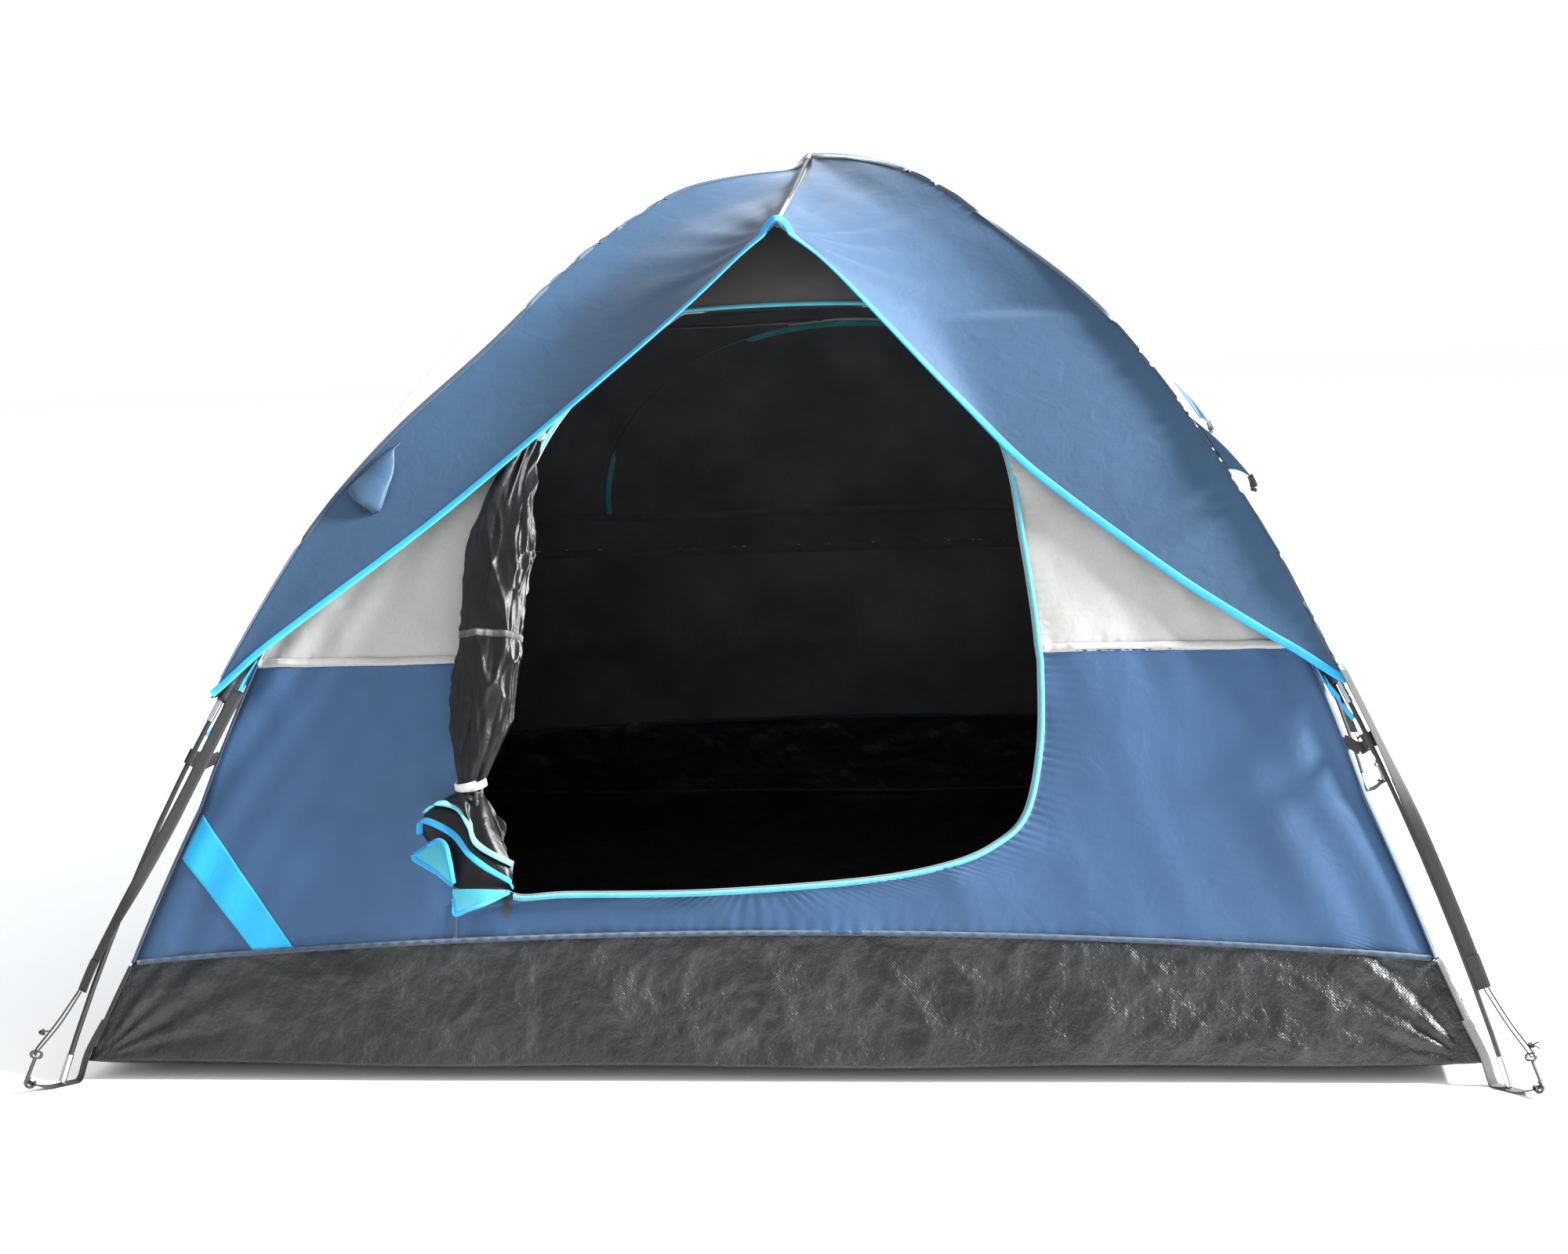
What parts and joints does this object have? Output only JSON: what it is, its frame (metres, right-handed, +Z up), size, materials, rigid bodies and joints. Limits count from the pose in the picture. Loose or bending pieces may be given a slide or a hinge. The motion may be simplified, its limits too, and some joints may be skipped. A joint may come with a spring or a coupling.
{
  "type": "dome tent",
  "caption": "Two-wall dome tent with crossed arched poles, clipped inner tent with bathtub floor, draped rain fly with brows and a D-shaped door tied open.",
  "frame": {"origin": "on the ground under the apex, at the centre of the four pole feet", "axes": "+Z up, the front door faces -Y, +X is to the right seen from the front"},
  "size_m": [2.2382, 2.2382, 1.4052],
  "materials": {
    "fibreglass": "pultruded rod, dark grey, slightly glossy",
    "steel": "plated steel",
    "elastic_cord": "braided elastic cord",
    "black_plastic": "moulded acetal",
    "tarpaulin": "woven and laminated polyethylene sheet, shiny and crinkled",
    "mesh": "fine insect mesh",
    "navy_wall": "coated polyester taffeta",
    "white_wall": "uncoated breathable polyester",
    "teal_zip": "coil zip tape with folded piping",
    "black_coated": "silver-black coated polyester, shiny",
    "zip_metal": "painted zinc zip slider",
    "pale_tape": "narrow polyester tape",
    "fly_white": "coated polyester taffeta, pale green white",
    "fly_navy": "coated polyester taffeta",
    "cyan_binding": "folded polyester binding tape",
    "black_webbing": "polypropylene webbing"
  },
  "bodies": {
    "tent": {"clip_straps": "black_webbing", "corner_webbing_front_left": "black_webbing", "corner_webbing_front_right": "black_webbing", "corner_webbing_rear_left": "black_webbing", "corner_webbing_rear_right": "black_webbing", "door_zip_piping": "teal_zip", "fly_corner_straps": "black_webbing", "fly_elastic_loops": "elastic_cord", "fly_front_binding": "cyan_binding", "fly_front_left": "fly_navy", "fly_front_right": "fly_navy", "fly_guy_tabs": "fly_navy", "fly_rear_binding": "cyan_binding", "fly_rear_left": "fly_navy", "fly_rear_right": "fly_navy", "fly_side_bindings": "cyan_binding", "fly_side_left": "fly_white", "fly_side_right": "fly_white", "pole_a_ferrules": "steel", "pole_a_sections": "fibreglass", "pole_a_shock_cord": "elastic_cord", "pole_a_tips": "steel", "pole_b_ferrules": "steel", "pole_b_sections": "fibreglass", "pole_b_shock_cord": "elastic_cord", "pole_b_tips": "steel", "pole_sleeve_front_left": "black_coated", "pole_sleeve_front_right": "black_coated", "pole_sleeve_rear_left": "black_coated", "pole_sleeve_rear_right": "black_coated", "rear_window_panel": "black_coated", "rear_window_zip": "teal_zip", "ridge_pole_elbow": "steel", "ridge_pole_end_caps": "black_plastic", "ridge_pole_rods": "fibreglass", "ridge_pole_shock_cord": "elastic_cord", "roof_mesh": "mesh", "tub_floor": "tarpaulin", "wall_front_lower": "navy_wall", "wall_front_upper": "white_wall", "wall_left_lower": "navy_wall", "wall_left_upper": "white_wall", "wall_rear_lower": "navy_wall", "wall_rear_upper": "white_wall", "wall_right_lower": "navy_wall", "wall_right_upper": "white_wall"},
    "door_roll": {"door_roll": "black_coated", "door_tie_band": "pale_tape"},
    "toggle": {"door_toggle": "black_plastic"},
    "zip_pull": {"door_zip_pull": "zip_metal"},
    "zip_slider": {"door_zip_slider": "zip_metal"},
    "hook_front_left": {"fly_hook_front_left": "black_plastic"},
    "hook_front_right": {"fly_hook_front_right": "black_plastic"},
    "hook_rear_left": {"fly_hook_rear_left": "black_plastic"},
    "hook_rear_right": {"fly_hook_rear_right": "black_plastic"},
    "clip_front_left": {"pole_clip_front_left": "black_plastic"},
    "clip_front_right": {"pole_clip_front_right": "black_plastic"},
    "clip_rear_left": {"pole_clip_rear_left": "black_plastic"},
    "clip_rear_right": {"pole_clip_rear_right": "black_plastic"},
    "window_slider": {"rear_window_slider": "zip_metal"}
  },
  "joints": [
    {"name": "door_zip_slide", "type": "slide", "parent": "tent", "child": "zip_slider", "axis": [0.9995, 0.0119, 0.0296], "range_m": [0, 0.52]},
    {"name": "door_pull_swing", "type": "hinge", "parent": "zip_slider", "child": "zip_pull", "pos_m": [-0.394, -0.95564, 0.26286], "axis": [-1, 0, 0], "range_deg": [0, 40]},
    {"name": "door_roll_swing", "type": "hinge", "parent": "tent", "child": "door_roll", "pos_m": [-0.446, -0.77862, 0.64], "axis": [-0.0896, -0.435, -0.896], "range_deg": [0, 12]},
    {"name": "toggle_turn", "type": "hinge", "parent": "door_roll", "child": "toggle", "pos_m": [-0.436, -0.94482, 0.41], "axis": [0, -1, 0], "range_deg": [-50, 50]},
    {"name": "window_zip_slide", "type": "slide", "parent": "tent", "child": "window_slider", "axis": [-0.1539, -0.4951, 0.8551], "range_m": [0, 0.04]},
    {"name": "hook_rock_front_right", "type": "hinge", "parent": "tent", "child": "hook_front_right", "pos_m": [1.10965, -1.10965, 0.015], "axis": [0.7071, 0.7071, 0], "range_deg": [-6, 6]},
    {"name": "hook_rock_front_left", "type": "hinge", "parent": "tent", "child": "hook_front_left", "pos_m": [-1.10965, -1.10965, 0.015], "axis": [0.7071, -0.7071, 0], "range_deg": [-6, 6]},
    {"name": "hook_rock_rear_left", "type": "hinge", "parent": "tent", "child": "hook_rear_left", "pos_m": [-1.10965, 1.10965, 0.015], "axis": [-0.7071, -0.7071, 0], "range_deg": [-6, 6]},
    {"name": "hook_rock_rear_right", "type": "hinge", "parent": "tent", "child": "hook_rear_right", "pos_m": [1.10965, 1.10965, 0.015], "axis": [-0.7071, 0.7071, 0], "range_deg": [-6, 6]},
    {"name": "clip_turn_front_right", "type": "hinge", "parent": "tent", "child": "clip_front_right", "pos_m": [0.89998, -0.89998, 0.474], "axis": [0.3831, -0.3831, -0.8406], "range_deg": [-6, 6]},
    {"name": "clip_turn_front_left", "type": "hinge", "parent": "tent", "child": "clip_front_left", "pos_m": [-0.89998, -0.89998, 0.474], "axis": [-0.3831, -0.3831, -0.8406], "range_deg": [-6, 6]},
    {"name": "clip_turn_rear_left", "type": "hinge", "parent": "tent", "child": "clip_rear_left", "pos_m": [-0.89998, 0.89998, 0.474], "axis": [-0.3831, 0.3831, -0.8406], "range_deg": [-6, 6]},
    {"name": "clip_turn_rear_right", "type": "hinge", "parent": "tent", "child": "clip_rear_right", "pos_m": [0.89998, 0.89998, 0.474], "axis": [0.3831, 0.3831, -0.8406], "range_deg": [-6, 6]}
  ]
}
